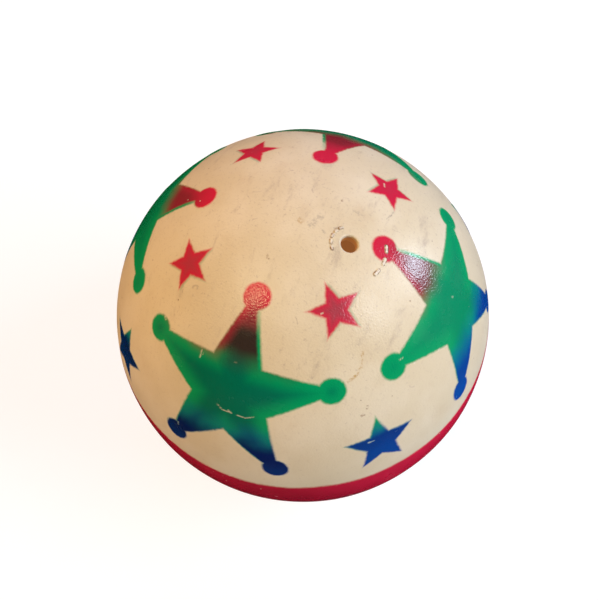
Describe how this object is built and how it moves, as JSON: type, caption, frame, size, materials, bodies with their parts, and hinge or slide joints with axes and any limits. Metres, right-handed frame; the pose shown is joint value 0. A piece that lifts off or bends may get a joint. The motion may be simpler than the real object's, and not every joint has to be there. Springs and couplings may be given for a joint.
{
  "type": "juggling ball",
  "caption": "Hollow vinyl juggling ball with a small open filling hole and sprayed stars in red, green and blue above and below a crimson belt.",
  "frame": {"origin": "centre of the ball", "axes": "+Z through the pole of the upper half, which the upper stars point at; -Y through one large star; the filling hole is in the upper half near the pole, on the +X side"},
  "size_m": [0.0702, 0.0702, 0.07],
  "materials": {
    "vinyl": "satin, aged ivory",
    "band_paint": "sprayed crimson, satin",
    "red_paint": "sprayed red, satin",
    "green_paint": "sprayed green, satin",
    "blue_paint": "sprayed blue, satin"
  },
  "bodies": {
    "root": {"upper_shell": "vinyl", "lower_shell": "vinyl", "equator_band": "band_paint", "upper_red_arms": "red_paint", "upper_green_bodies": "green_paint", "upper_blue_feet": "blue_paint", "upper_small_red_stars": "red_paint", "upper_small_blue_stars": "blue_paint", "lower_red_arms": "red_paint", "lower_green_bodies": "green_paint", "lower_blue_feet": "blue_paint", "lower_small_red_stars": "red_paint", "lower_small_blue_stars": "blue_paint"}
  },
  "joints": []
}
